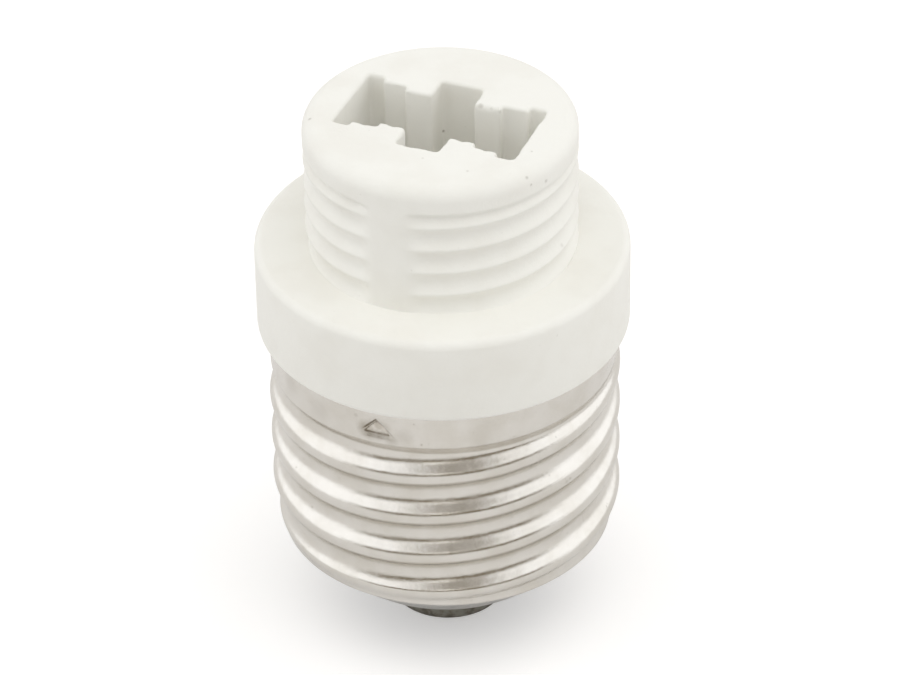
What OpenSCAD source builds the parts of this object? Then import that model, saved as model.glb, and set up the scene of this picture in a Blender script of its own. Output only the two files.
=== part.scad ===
// Lamp socket adapter: a ceramic socket for a two-pin capsule lamp, crimped into a rolled screw shell.
// Millimetres, +Z up, origin at the middle of the contact face that the adapter stands on.
// The long side of the lamp slot runs along X. Both threads are right-handed.

/* [Screw shell] */
// Diameter over the thread crests
thread_d = 26.2; // [25:0.1:30]
// Rise of the thread in one turn
thread_pitch = 3.629; // [3:0.001:4.4]
// Depth of the rolled thread, crest to root
thread_depth = 1.05; // [0.6:0.05:1.3]
// Angle at which a crest passes two turns below the flange
thread_turn = 111; // [0:1:359]
// Thickness of the rolled sheet
sheet_t = 0.3; // [0.2:0.05:0.4]
// Height of the shell, flange to lip
shell_h = 21.4; // [17:0.1:26]
// Height of the plain band under the flange
band_h = 2.6; // [2.2:0.1:3.6]
// How far the plain band lies inside the crests
band_inset = 0.2; // [0.1:0.05:0.4]
// Height of the cone that closes the shell
cone_h = 3.6; // [3.2:0.1:4.8]
// Diameter over the rolled lip
lip_d = 17.1; // [14:0.1:18]
// Width of a crimp punched into the band
crimp_w = 2.8; // [2:0.1:3.4]
// Depth of a crimp
crimp_depth = 0.8; // [0.5:0.05:1]

/* [Ceramic body] */
// Diameter of the flange
flange_d = 27.6; // [26.8:0.1:34]
// Height of the flange
flange_h = 6.8; // [5:0.1:9]
// Rounding of the flange's upper edge
flange_r = 0.6; // [0.2:0.05:1]
// Diameter of the neck, at its collar and crests
neck_d = 20; // [18.8:0.1:24]
// Height of the neck above the flange
neck_h = 10.5; // [8:0.1:13]
// Rounding of the neck's upper edge
neck_r = 1; // [0.4:0.05:1.4]
// Height of the plain collar at the top of the neck
collar_h = 1.9; // [1.6:0.1:2.6]
// Rise of the moulded neck thread in one turn
ring_pitch = 1.9; // [1.5:0.05:2.4]
// Depth of the neck thread
ring_depth = 0.45; // [0.3:0.05:0.6]
// Angle at which a neck crest meets the flange
ring_turn = 339; // [0:1:359]
// Half angle of the smooth seam where the mould parts
seam_angle = 9; // [6:1:14]
// Wall of the skirt round the lower cavity
skirt_wall = 2.8; // [2:0.1:3.4]

/* [Lamp slot] */
// Length of the slot
slot_l = 14; // [13:0.1:15]
// Depth of the slot
slot_depth = 9.5; // [8:0.1:11.5]
// Width between the ribs, where the lamp base is held
slot_w = 4.6; // [4.4:0.1:5.4]
// Length of a rib along the slot
rib_l = 2.1; // [1.6:0.1:2.4]
// Width of the channel beside a rib
channel_w = 5.7; // [5:0.1:6.4]
// Width of the notch at each end
notch_w = 6.8; // [6:0.1:7.2]
// Length of the notch at each end
notch_l = 1.3; // [1:0.1:1.6]
// Width of the recess across the middle
recess_w = 8.8; // [8:0.1:9.6]
// Length of the recess across the middle
recess_l = 3.3; // [3.2:0.1:4]
// Rounding of the slot's corners
slot_r = 0.35; // [0.2:0.05:0.5]
// Thickness of the slot's floor
floor_t = 1.6; // [1.2:0.1:2.4]

/* [Lamp contacts] */
// Spacing of the lamp's pins
pin_spacing = 9; // [8.8:0.1:9.4]
// Width of the window that a pin passes through
window_w = 1.8; // [1.4:0.1:2.2]
// Width of a contact strip
strip_w = 3.2; // [2.6:0.1:3.6]
// Thickness of a contact strip
strip_t = 0.35; // [0.25:0.05:0.45]
// Opening between the two arms of a clip at rest
grip_gap = 0.5; // [0.3:0.05:0.7]
// Half spread of the arms above the web
arm_out = 1.75; // [1.6:0.05:1.85]
// Thickness of the backing spring
spring_t = 0.3; // [0.2:0.05:0.35]
// Width of the tail that carries the crimp
tail_w = 1.9; // [1.5:0.1:2.1]
// Length of a crimp sleeve
sleeve_l = 3.6; // [3:0.1:4.2]
// Wall of a crimp sleeve
sleeve_wall = 0.3; // [0.2:0.05:0.4]

/* [Closing plate] */
// Thickness of the closing plate
plate_t = 1.2; // [1:0.1:1.6]
// Diameter of a rivet
rivet_d = 1.6; // [1.2:0.1:1.8]
// Bore of a tubular rivet
rivet_bore = 0.9; // [0.5:0.1:1]
// Diameter of a rivet head
rivet_head_d = 2.8; // [2.6:0.1:3.2]
// Thickness of a rivet head
rivet_head_t = 0.4; // [0.3:0.05:0.5]
// Distance of a rivet from the middle
rivet_offset = 2.9; // [2.6:0.1:3]
// Thickness of a rivet washer
washer_t = 0.3; // [0.2:0.05:0.4]

/* [Base] */
// Height of the lip above the contact face
base_drop = 4.3; // [3.8:0.1:5.2]
// Diameter of the centre contact
contact_d = 9; // [8:0.1:9.6]
// Height of the centre contact
contact_h = 1.6; // [1.4:0.1:2.2]
// Rounding of the centre contact's lower edge
contact_r = 0.6; // [0.4:0.05:0.8]
// Sheet thickness of the centre contact
contact_t = 0.4; // [0.3:0.05:0.5]
// Diameter of the solder well in the centre contact
solder_d = 3.2; // [2.4:0.1:4]
// Thickness of the insulator
insulator_t = 1.7; // [1.4:0.1:2.1]
// Wall of the insulator's rim
rim_t = 2; // [1.6:0.1:2.4]

/* [Leads] */
// Diameter of a bare conductor
wire_d = 0.8; // [0.6:0.05:1]
// Wall of the insulating sleeve on a lead
cover_t = 0.35; // [0.2:0.05:0.4]
// Bend radius of a lead at its centre line
bend_r = 1.2; // [1:0.1:1.5]
// Height of the cross run above the insulator
lead_lift = 1.3; // [1:0.1:2]

/* [Fit] */
// Clearance between pieces that slide into each other
fit = 0.1; // [0.05:0.01:0.14]
// Gap where one piece seats on another
seat = 0.04; // [0.01:0.01:0.08]

/* [Hidden] */
$fn = 96;

// How far a cutter reaches past the face that it opens
over = 1;
// How far one shape of a solid sinks into the next one, so that they join
nest = 0.02;
// Room left between pieces that are never meant to touch
play = 0.3;

// Radii of the shell and of what it holds
thread_r = thread_d / 2;
mean_r = thread_r - thread_depth / 2;
band_r = thread_r - band_inset;
// The rolled profile: crest and root are arcs of one radius that meet halfway down the flank
arc_r = (pow(thread_pitch / 4, 2) + pow(thread_depth / 2, 2)) / thread_depth;
flank = asin(thread_pitch / 4 / arc_r);
lip_r = lip_d / 2;
collar_in_r = band_r - sheet_t - fit;
spigot_r = thread_r - thread_depth - sheet_t - fit;
cavity_r = spigot_r - skirt_wall;
neck_top_r = neck_d / 2;

// Heights of the shell
lip_z = base_drop;
cone_z = lip_z + cone_h;
flange_z = lip_z + shell_h;
band_z = flange_z - band_h;
thread_ref_z = flange_z - 2 * thread_pitch;
// Middle of a crimp, below the flange
crimp_drop = 1.55;
crimp_z = flange_z - crimp_drop;
// Height of the lip's roll, and the rounding of its edge
lip_roll = 0.3;
lip_soft = 0.08;

// The thread flattens out over these lengths, and its foot leans in to the cone
fade_top = 1.5;
fade_foot = 2.2;
foot_start = 0.4;
foot_lean = 0.25;
cone_r = mean_r - foot_lean;
cone_slope = (cone_r - lip_r) / cone_h;
cone_skin = sheet_t * sqrt(1 + cone_slope * cone_slope);

// Heights of the base, worked upwards: insulator, leads, crimp sleeves, plate
insulator_z = lip_z + lip_roll + fit;
saucer_z = insulator_z + insulator_t;
cover_r = wire_d / 2 + cover_t;
cross_z = saucer_z + cover_r + lead_lift;
sleeve_z = cross_z + bend_r + cover_r;
sleeve_top_z = sleeve_z + sleeve_l;
plate_z = sleeve_top_z + rivet_head_t + washer_t + play;
chamber_z = plate_z + plate_t + seat;
// The skirt's foot clears the sleeve of the cross run
skirt_z = cross_z + cover_r + fit;

// Heights of the body, worked upwards
body_z = flange_z + flange_h;
top_z = body_z + neck_h;
slot_z = top_z - slot_depth;
roof_z = slot_z - floor_t;
collar_z = top_z - collar_h;
// A clip's web stands on the plate with its spring between them, and its arms pinch below the floor
web_z = chamber_z + seat + spring_t + seat + strip_t / 2;
pinch_drop = 2.8;
pinch_z = roof_z - pinch_drop;

// Places across the body
pin_x = pin_spacing / 2;
chamber_in_x = pin_x - strip_w / 2 - play;
tail_x = pin_x + strip_w / 2 + play;
chamber_out_x = tail_x + strip_t + play;
chamber_y = arm_out + strip_t / 2 + spring_t + play;
sink_t = rivet_head_t + fit;
// Chamfer that leads the spigot into the shell
lead_in = 0.3;
// A strip starts to fold this far before its corner
fold = 0.45;

// The leads: where they stand, where they end and what their sleeves cover
lead_x = tail_x + strip_t / 2;
lead_top_z = sleeve_z + sleeve_l / 2 - seat;
lead_foot_z = contact_t / 2;
cover_top_z = sleeve_z - seat;
cover_foot_z = contact_h + 2 * play;
joint_x = spigot_r - 2 * play;

// Mesh density of the two threads
shell_segments = 48;
shell_steps = 10;
neck_segments = 44;
neck_steps = 7;

function smooth(t) = let (u = min(1, max(0, t))) u * u * (3 - 2 * u);

// Where the rolled thread fades, and the radius that it is rolled about
function shell_fade(z) = smooth((band_z - z) / fade_top) * smooth((z - cone_z + foot_start) / fade_foot);
function shell_mean(z) =
    mean_r + (band_r - mean_r) * (1 - smooth((band_z - z) / fade_top))
    - foot_lean * (1 - smooth((z - cone_z) / fade_foot));

// Distance of the rolled profile from that radius, u away from a crest, with the sheet grown by g
function rolled(u, g) =
    u < (arc_r + g) * sin(flank)
        ? sqrt(pow(arc_r + g, 2) - u * u) - arc_r * cos(flank)
        : arc_r * cos(flank) - sqrt(pow(arc_r - g, 2) - pow(thread_pitch / 2 - u, 2));

// Distance along the axis from the nearest crest, at height z and angle a
function crest_off(z, a) =
    let (p = (z - thread_ref_z) / thread_pitch - (a - thread_turn) / 360)
    thread_pitch * abs(p - round(p));

// Radius of the shell's outer face there, with the sheet grown by g
function shell_r(z, a, g = 0) =
    let (threaded = z > cone_z && z < band_z ? shell_fade(z) : 0)
    shell_mean(z) + g + threaded * (rolled(crest_off(z, a), g) - g);

// Outer radius of the neck thread: grooves below the crest radius, none at the two seams
seam_blend = 5;
collar_blend = 0.5;
function seam_fade(a) = smooth((min(abs(a - 90), abs(a - 270)) - seam_angle) / seam_blend + 0.5);
function ring_fade(z) = smooth((collar_z - z) / collar_blend);
function ring_wave(z, a) = 0.5 - 0.5 * cos(360 * (z - body_z) / ring_pitch - a + ring_turn);
function neck_thread_r(z, a) =
    neck_top_r - ring_depth * ring_fade(z) * seam_fade(a) * ring_wave(z, a);

// Inner radius of the shell's cone, and of the shell where the left lead is soldered to it
function cone_in_r(z) = lip_r + (z - lip_z) * cone_slope - cone_skin;
function joint_wall_r(z) =
    z > cone_z
        ? min([for (a = [176, 180, 184]) shell_r(z, a, -sheet_t)])
        : cone_in_r(z);

// Unit vector, and the same turned a quarter
function unit(v) = v / norm(v);
function turned(v) = [-v[1], v[0]];

// A path with each inner corner replaced by a smooth bend that starts d before it
function bend_points(a, v, b, d) =
    let (p = v + unit(a - v) * d, q = v + unit(b - v) * d)
    [for (t = [0 : 0.25 : 1]) p * (1 - t) * (1 - t) + v * 2 * t * (1 - t) + q * t * t];
function bent(path, d) = concat(
    [path[0]],
    [for (i = [1 : len(path) - 2]) each bend_points(path[i - 1], path[i], path[i + 1], d)],
    [path[len(path) - 1]]
);

// A path moved sideways by s, with mitred corners
function side_at(path, i) =
    let (
        last = len(path) - 1,
        before = unit(path[max(i, 1)] - path[max(i, 1) - 1]),
        after = unit(path[min(i, last - 1) + 1] - path[min(i, last - 1)]),
        mid = unit(turned(before) + turned(after))
    )
    mid / (mid * turned(after));
function moved(path, s) = [for (i = [0 : len(path) - 1]) path[i] + side_at(path, i) * s];
function reversed(path) = [for (i = [len(path) - 1 : -1 : 0]) path[i]];

// Flat strip of thickness t that follows a path, its middle moved sideways by s
module ribbon(path, t, s) {
    polygon(concat(moved(path, s + t / 2), reversed(moved(path, s - t / 2))));
}

// Faces of a grid of rings, each with n points, wound so that they look outwards
function skin_faces(first, rings, n, outward) = [
    for (i = [0 : rings - 2], j = [0 : n - 1], half = [0, 1])
        let (
            a = first + i * n + j,
            b = first + i * n + (j + 1) % n,
            c = a + n,
            d = b + n,
            face = half == 0 ? [a, c, b] : [b, c, d]
        )
        outward ? face : [face[0], face[2], face[1]]
];

// Solid thread of the ceramic neck, flange to collar
module neck_thread() {
    n = neck_segments;
    rings = ceil((collar_z - body_z) / ring_pitch * neck_steps) + 1;
    function height(i) = body_z + (collar_z - body_z) * i / (rings - 1);
    polyhedron(
        points = [
            for (i = [0 : rings - 1], j = [0 : n - 1])
                let (a = 360 * j / n, r = neck_thread_r(height(i), a) - nest)
                [r * cos(a), r * sin(a), height(i)]
        ],
        faces = concat(
            skin_faces(0, rings, n, true),
            [[for (j = [0 : n - 1]) j]],
            [[for (j = [n - 1 : -1 : 0]) (rings - 1) * n + j]]
        ),
        convexity = 6
    );
}

// Rolled sheet of the shell's thread, cone to band
module shell_thread() {
    n = shell_segments;
    rings = ceil((band_z - cone_z) / thread_pitch * shell_steps) + 1;
    // The inner points lie outside the true radius by the sag of a chord
    sag = band_r * (1 - cos(180 / n)) + nest / 2;
    function height(i) = cone_z + (band_z - cone_z) * i / (rings - 1);
    function ring(i, g, shift) = [
        for (j = [0 : n - 1])
            let (a = 360 * j / n, r = shell_r(height(i), a, g) + shift)
            [r * cos(a), r * sin(a), height(i)]
    ];
    total = rings * n;
    polyhedron(
        points = concat(
            [for (i = [0 : rings - 1]) each ring(i, 0, -nest)],
            [for (i = [0 : rings - 1]) each ring(i, -sheet_t, sag)]
        ),
        faces = concat(
            skin_faces(0, rings, n, true),
            skin_faces(total, rings, n, false),
            [
                for (j = [0 : n - 1])
                    let (k = (j + 1) % n)
                    each [[j, k, total + k], [j, total + k, total + j]]
            ],
            [
                for (j = [0 : n - 1])
                    let (k = (j + 1) % n, a = (rings - 1) * n)
                    each [[a + j, total + a + j, total + a + k], [a + j, total + a + k, a + k]]
            ]
        ),
        convexity = 8
    );
}

// Three-sided dent of a crimp, its deep end towards the flange, grown by g on every side
module crimp_dent(g) {
    half = crimp_w / 2 + g;
    high = crimp_w * 0.3 + g;
    deep = crimp_depth + g;
    peak = high * 0.4;
    translate([0, -band_r, crimp_z])
        polyhedron(
            points = [
                [-half, -over, -high], [half, -over, -high], [0, -over, high],
                [-half, 0, -high], [half, 0, -high], [0, 0, high],
                [0, deep, peak]
            ],
            faces = [
                [0, 2, 1], [0, 1, 4], [0, 4, 3], [1, 2, 5], [1, 5, 4], [2, 0, 3], [2, 3, 5],
                [3, 4, 6], [4, 5, 6], [5, 3, 6]
            ]
        );
}

module both_crimps() {
    for (a = [0, 180])
        rotate([0, 0, a])
            children();
}

module screw_shell() {
    color("silver")
        union() {
            shell_thread();
            shell_band();
            shell_cone();
        }
}

// Plain band with its two crimps
module shell_band() {
    difference() {
        union() {
            difference() {
                translate([0, 0, band_z])
                    cylinder(h = band_h - seat, r = band_r);
                translate([0, 0, band_z - over])
                    cylinder(h = band_h + 2 * over, r = band_r - sheet_t);
            }
            both_crimps()
                intersection() {
                    crimp_dent(sheet_t);
                    translate([0, 0, band_z])
                        cylinder(h = band_h - seat, r = band_r - sheet_t / 2);
                }
        }
        both_crimps()
            crimp_dent(0);
    }
}

// Cone that closes the shell, with a lip rolled towards the insulator
module shell_cone() {
    roll_z = lip_z + lip_roll;
    edge_r = lip_r - lip_roll;
    rotate_extrude()
        polygon([
            [cone_r, cone_z],
            [cone_r - sheet_t, cone_z],
            [cone_in_r(cone_z) - nest, cone_z - nest],
            [cone_in_r(roll_z), roll_z],
            [edge_r, roll_z],
            [edge_r, lip_z + lip_soft],
            [edge_r + lip_soft, lip_z],
            [lip_r, lip_z]
        ]);
}

// Outline of the lamp slot: a channel with ribs, end notches and a middle recess.
// One quarter is listed, and the other three are its mirror images.
function slot_quarter() =
    let (rib_x = recess_l / 2 + rib_l, notch_x = slot_l / 2 - notch_l)
    [
        [slot_l / 2, notch_w / 2], [notch_x, notch_w / 2], [notch_x, channel_w / 2],
        [rib_x, channel_w / 2], [rib_x, slot_w / 2], [recess_l / 2, slot_w / 2],
        [recess_l / 2, recess_w / 2]
    ];
function slot_points() =
    let (
        q = slot_quarter(),
        left = reversed([for (p = q) [-p[0], p[1]]]),
        half = concat(q, left)
    )
    concat(half, [for (p = half) -p]);

// The same outline with each corner rounded, by less where a side is short
function rounded(path, r) =
    let (n = len(path))
    [
        for (i = [0 : n - 1])
            let (
                a = path[(i + n - 1) % n],
                v = path[i],
                b = path[(i + 1) % n],
                d = min(r, 0.45 * min(norm(a - v), norm(b - v)))
            )
            each bend_points(a, v, b, d)
    ];

module flange_profile() {
    r = flange_d / 2;
    low = flange_r * 0.6;
    union() {
        translate([0, body_z - flange_r])
            square([r - flange_r, flange_r]);
        translate([0, flange_z + low])
            square([r, flange_h - flange_r - low]);
        translate([0, flange_z])
            square([r - low, low]);
        translate([r - flange_r, body_z - flange_r])
            circle(r = flange_r);
        translate([r - low, flange_z + low])
            circle(r = low);
    }
}

module collar_profile() {
    r = neck_top_r;
    translate([0, collar_z])
        square([r, collar_h - neck_r]);
    translate([0, top_z - neck_r])
        square([r - neck_r, neck_r]);
    intersection() {
        translate([r - neck_r, top_z - neck_r])
            circle(r = neck_r);
        translate([0, top_z - neck_r])
            square([r, neck_r]);
    }
}

module spigot_profile() {
    polygon([
        [0, skirt_z],
        [spigot_r - lead_in, skirt_z],
        [spigot_r, skirt_z + lead_in],
        [spigot_r, band_z - lead_in],
        [collar_in_r, band_z + lead_in],
        [collar_in_r, flange_z],
        [0, flange_z]
    ]);
}

// Chamber for one clip, open at its foot
module chamber() {
    translate([chamber_in_x, -chamber_y, plate_z])
        cube([chamber_out_x - chamber_in_x, 2 * chamber_y, roof_z - plate_z]);
}

// Round pocket that a crimp is driven into, cut off at the flange
module crimp_pocket() {
    pocket_r = crimp_w * 0.62;
    intersection() {
        translate([0, -collar_in_r - over, crimp_z])
            rotate([-90, 0, 0])
                cylinder(h = over + crimp_depth + sheet_t + fit, r = pocket_r, $fn = 32);
        translate([0, 0, flange_z - 2 * pocket_r])
            cylinder(h = 2 * pocket_r, r = band_r);
    }
}

module ceramic_body() {
    color("ivory")
        difference() {
            union() {
                rotate_extrude()
                    spigot_profile();
                rotate_extrude()
                    flange_profile();
                neck_thread();
                rotate_extrude()
                    collar_profile();
            }
            translate([0, 0, slot_z])
                linear_extrude(slot_depth + over)
                    polygon(rounded(slot_points(), slot_r));
            for (s = [0, 180])
                rotate([0, 0, s]) {
                    chamber();
                    translate([pin_x - strip_w / 2 - fit, -window_w / 2, roof_z - over])
                        cube([strip_w + 2 * fit, window_w, floor_t + 2 * over]);
                }
            translate([0, 0, skirt_z - over])
                cylinder(h = chamber_z - skirt_z + over, r = cavity_r);
            for (s = [-1, 1])
                translate([0, s * rivet_offset, 0]) {
                    translate([0, 0, skirt_z])
                        cylinder(h = slot_z - skirt_z + over, r = rivet_d / 2 + fit, $fn = 32);
                    translate([0, 0, slot_z - sink_t])
                        cylinder(h = sink_t + over, r = rivet_head_d / 2 + fit, $fn = 32);
                }
            both_crimps()
                crimp_pocket();
        }
}

// Saucer that carries the contact and keeps the leads off the shell
module base_insulator() {
    outer_z = lip_z + (spigot_r + fit + cone_skin - lip_r) / cone_slope;
    rim_z = skirt_z - seat;
    floor_r = cone_in_r(saucer_z) - fit - rim_t;
    boss_r = contact_d / 2 - contact_t - fit;
    shoulder_r = contact_d / 2 + 0.5;
    flare_r = contact_d / 2 + 1.2;
    slit_l = spigot_r - floor_r + play;
    color("dimgray")
        difference() {
            rotate_extrude()
                polygon([
                    [0, contact_t + seat],
                    [boss_r, contact_t + seat],
                    [boss_r, contact_h + seat],
                    [shoulder_r, contact_h + seat],
                    [flare_r, insulator_z],
                    [cone_in_r(insulator_z) - fit, insulator_z],
                    [spigot_r, outer_z],
                    [spigot_r, rim_z],
                    [spigot_r - rim_t, rim_z],
                    [floor_r, saucer_z],
                    [0, saucer_z]
                ]);
            translate([0, 0, -over])
                cylinder(h = saucer_z + 2 * over, r = cover_r + fit, $fn = 32);
            translate([-spigot_r - over, -cover_r - fit, cross_z - cover_r - fit])
                cube([slit_l + over, 2 * (cover_r + fit), skirt_z]);
        }
}

// Stamped cup over the insulator's boss, with a well for the solder
module centre_contact() {
    r = contact_d / 2;
    color("slategray")
        difference() {
            rotate_extrude() {
                translate([0, contact_r])
                    square([r, contact_h - contact_r]);
                square([r - contact_r, contact_r]);
                intersection() {
                    translate([r - contact_r, contact_r])
                        circle(r = contact_r);
                    square([r, contact_r]);
                }
            }
            translate([0, 0, contact_t])
                cylinder(h = contact_h, r = r - contact_t);
            translate([0, 0, -over])
                cylinder(h = contact_h + over, r = solder_d / 2);
        }
}

// Middle line of a clip, tip to tip round the web
function clip_path() =
    let (
        tip_z = roof_z - 2 * play,
        tip_flare = 0.75,
        shoulder_z = web_z + (pinch_z - web_z) * 0.55,
        pinch_y = grip_gap / 2 + strip_t / 2,
        web_y = arm_out - 0.1,
        half = [
            [web_y, web_z], [arm_out, shoulder_z], [pinch_y, pinch_z], [pinch_y + tip_flare, tip_z]
        ]
    )
    concat(reversed([for (p = half) [-p[0], p[1]]]), half);

// The backing spring follows the clip up to here
function spring_path() =
    let (p = clip_path(), low = p[5], high = p[6], end = low + (high - low) * 0.7)
    [[-end[0], end[1]], p[2], p[3], p[4], p[5], end];

// Strip as wide as w, over one pin's place, drawn in the plane across the slot
module across_slot(w) {
    translate([pin_x - w / 2, 0, 0])
        rotate([90, 0, 90])
            linear_extrude(w)
                children();
}

// Two arms from one web, and a tail folded down through the plate
module contact_clip() {
    ledge_x = pin_x + strip_w / 2 - strip_t;
    tail_z = sleeve_z + sleeve_l / 2 + seat;
    web_top_z = web_z + strip_t / 2;
    across_slot(strip_w)
        ribbon(bent(clip_path(), fold), strip_t, 0);
    translate([ledge_x, -tail_w / 2, web_top_z - strip_t])
        cube([tail_x + strip_t - ledge_x, tail_w, strip_t]);
    translate([tail_x, -tail_w / 2, tail_z])
        cube([strip_t, tail_w, web_top_z - tail_z]);
}

// Spring that lies under the web and outside the arms, and presses them together
module clip_spring() {
    across_slot(strip_w - 2 * play)
        ribbon(bent(spring_path(), fold), spring_t, -(strip_t + spring_t) / 2 - seat);
}

module contact_clip_right() {
    color("gold")
        contact_clip();
}

module contact_clip_left() {
    color("gold")
        rotate([0, 0, 180])
            contact_clip();
}

module clip_spring_right() {
    color("lightsteelblue")
        clip_spring();
}

module clip_spring_left() {
    color("lightsteelblue")
        rotate([0, 0, 180])
            clip_spring();
}

// Disc that shuts the chambers from below
module closing_plate() {
    color("whitesmoke")
        difference() {
            translate([0, 0, plate_z])
                cylinder(h = plate_t, r = cavity_r - fit);
            for (s = [0, 180])
                rotate([0, 0, s])
                    translate([tail_x - fit, -tail_w / 2 - fit, plate_z - over])
                        cube([strip_t + 2 * fit, tail_w + 2 * fit, plate_t + 2 * over]);
            for (s = [-1, 1])
                translate([0, s * rivet_offset, plate_z - over])
                    cylinder(h = plate_t + 2 * over, r = rivet_d / 2 + fit, $fn = 32);
        }
}

// Tubular rivet: head in the slot's floor, flared end under the washer
module plate_rivet(y) {
    foot_z = plate_z - washer_t - 2 * seat - rivet_head_t;
    head_z = slot_z - sink_t + seat;
    rim_r = rivet_head_d / 2;
    color("goldenrod")
        translate([0, y, 0])
            difference() {
                union() {
                    translate([0, 0, foot_z])
                        cylinder(h = head_z + rivet_head_t - foot_z, r = rivet_d / 2, $fn = 32);
                    translate([0, 0, head_z])
                        cylinder(h = rivet_head_t, r = rim_r, $fn = 32);
                    translate([0, 0, foot_z])
                        cylinder(h = rivet_head_t, r = (rim_r + rivet_d / 2) / 2, $fn = 32);
                }
                translate([0, 0, foot_z - over])
                    cylinder(h = top_z, r = rivet_bore / 2, $fn = 32);
            }
}

module plate_rivet_front() {
    plate_rivet(-rivet_offset);
}

module plate_rivet_rear() {
    plate_rivet(rivet_offset);
}

// Steel washer between the plate and a rivet's flared end
module rivet_washer(y) {
    color("lightgray")
        translate([0, y, plate_z - seat - washer_t])
            difference() {
                cylinder(h = washer_t, r = rivet_head_d / 2 + fit, $fn = 32);
                translate([0, 0, -over])
                    cylinder(h = washer_t + 2 * over, r = rivet_d / 2 + fit / 2, $fn = 32);
            }
}

module rivet_washer_front() {
    rivet_washer(-rivet_offset);
}

module rivet_washer_rear() {
    rivet_washer(rivet_offset);
}

// Ferrule round the foot of a tail and the bare end of a lead
module crimp_sleeve() {
    bore = sqrt(tail_w * tail_w + strip_t * strip_t) / 2 + nest;
    translate([lead_x, 0, sleeve_z])
        difference() {
            cylinder(h = sleeve_l, r = bore + sleeve_wall, $fn = 32);
            translate([0, 0, -over])
                cylinder(h = sleeve_l + 2 * over, r = bore, $fn = 32);
        }
}

module crimp_sleeve_right() {
    color("silver")
        crimp_sleeve();
}

module crimp_sleeve_left() {
    color("silver")
        rotate([0, 0, 180])
            crimp_sleeve();
}

// Round bar or tube along Z, from z0 to z1 at x
module upright(x, z0, z1, r, bore) {
    translate([x, 0, z0])
        difference() {
            cylinder(h = z1 - z0, r = r, $fn = 32);
            if (bore > 0)
                translate([0, 0, -over])
                    cylinder(h = z1 - z0 + 2 * over, r = bore, $fn = 32);
        }
}

// Round bar or tube along X at the height of the cross run
module cross_run(x0, x1, r, bore) {
    translate([x0, 0, cross_z])
        rotate([0, 90, 0])
            difference() {
                cylinder(h = x1 - x0, r = r, $fn = 32);
                if (bore > 0)
                    translate([0, 0, -over])
                        cylinder(h = x1 - x0 + 2 * over, r = bore, $fn = 32);
            }
}

// Quarter bend about a point, starting from the direction given by the angle
module quarter_bend(x, z, start, r, bore) {
    translate([x, 0, z])
        rotate([90, -start, 0])
            rotate_extrude(angle = 90)
                translate([bend_r, 0])
                    difference() {
                        circle(r = r, $fn = 32);
                        if (bore > 0)
                            circle(r = bore, $fn = 32);
                    }
}

// Lead from the right crimp across to the middle and down to the contact
module centre_route(r, bore, top, foot) {
    upright(lead_x, cross_z + bend_r, top, r, bore);
    quarter_bend(lead_x - bend_r, cross_z + bend_r, 270, r, bore);
    cross_run(bend_r, lead_x - bend_r, r, bore);
    quarter_bend(bend_r, cross_z - bend_r, 90, r, bore);
    upright(0, foot, cross_z - bend_r, r, bore);
}

// Lead from the left crimp outwards to the shell
module shell_route(r, bore, top, reach) {
    upright(-lead_x, cross_z + bend_r, top, r, bore);
    quarter_bend(-lead_x - bend_r, cross_z + bend_r, 270, r, bore);
    cross_run(-reach, -lead_x - bend_r, r, bore);
}

module centre_lead() {
    color("peru")
        centre_route(wire_d / 2, 0, lead_top_z, lead_foot_z);
}

module centre_lead_sleeve() {
    color("white")
        centre_route(cover_r, wire_d / 2 + seat, cover_top_z, cover_foot_z);
}

module shell_lead() {
    color("peru")
        shell_route(wire_d / 2, 0, lead_top_z, joint_x);
}

module shell_lead_sleeve() {
    color("white")
        shell_route(cover_r, wire_d / 2 + seat, cover_top_z, joint_x - 1);
}

// Solder that fills the well in the centre contact, round the lead's foot
module centre_solder() {
    color("lightslategray")
        difference() {
            translate([0, 0, seat])
                cylinder(h = contact_t - seat, r = solder_d / 2 - nest / 2);
            translate([0, 0, lead_foot_z])
                cylinder(h = contact_t, r = wire_d / 2, $fn = 32);
        }
}

// Blob of solder that joins the lead's end to the inside of the shell
module shell_solder() {
    margin = seat + nest;
    blob_l = thread_r - joint_x + wire_d / 2;
    color("lightslategray")
        difference() {
            intersection() {
                translate([-thread_r, 0, cross_z])
                    rotate([0, 90, 0])
                        cylinder(h = blob_l, r1 = cover_r, r2 = wire_d * 0.7, $fn = 32);
                rotate_extrude()
                    polygon(concat(
                        [[0, lip_z]],
                        [for (z = [lip_z : 0.2 : skirt_z]) [joint_wall_r(z) - margin, z]],
                        [[joint_wall_r(skirt_z) - margin, skirt_z + over], [0, skirt_z + over]]
                    ));
            }
            translate([-joint_x, 0, cross_z])
                rotate([0, 90, 0])
                    cylinder(h = wire_d, r = wire_d / 2, $fn = 32);
        }
}

ceramic_body();
screw_shell();
base_insulator();
centre_contact();
contact_clip_right();
contact_clip_left();
clip_spring_right();
clip_spring_left();
closing_plate();
plate_rivet_front();
plate_rivet_rear();
rivet_washer_front();
rivet_washer_rear();
crimp_sleeve_right();
crimp_sleeve_left();
centre_lead();
shell_lead();
centre_lead_sleeve();
shell_lead_sleeve();
centre_solder();
shell_solder();
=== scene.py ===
import math
import bmesh
import bpy
from mathutils import Matrix, Vector, noise


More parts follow.
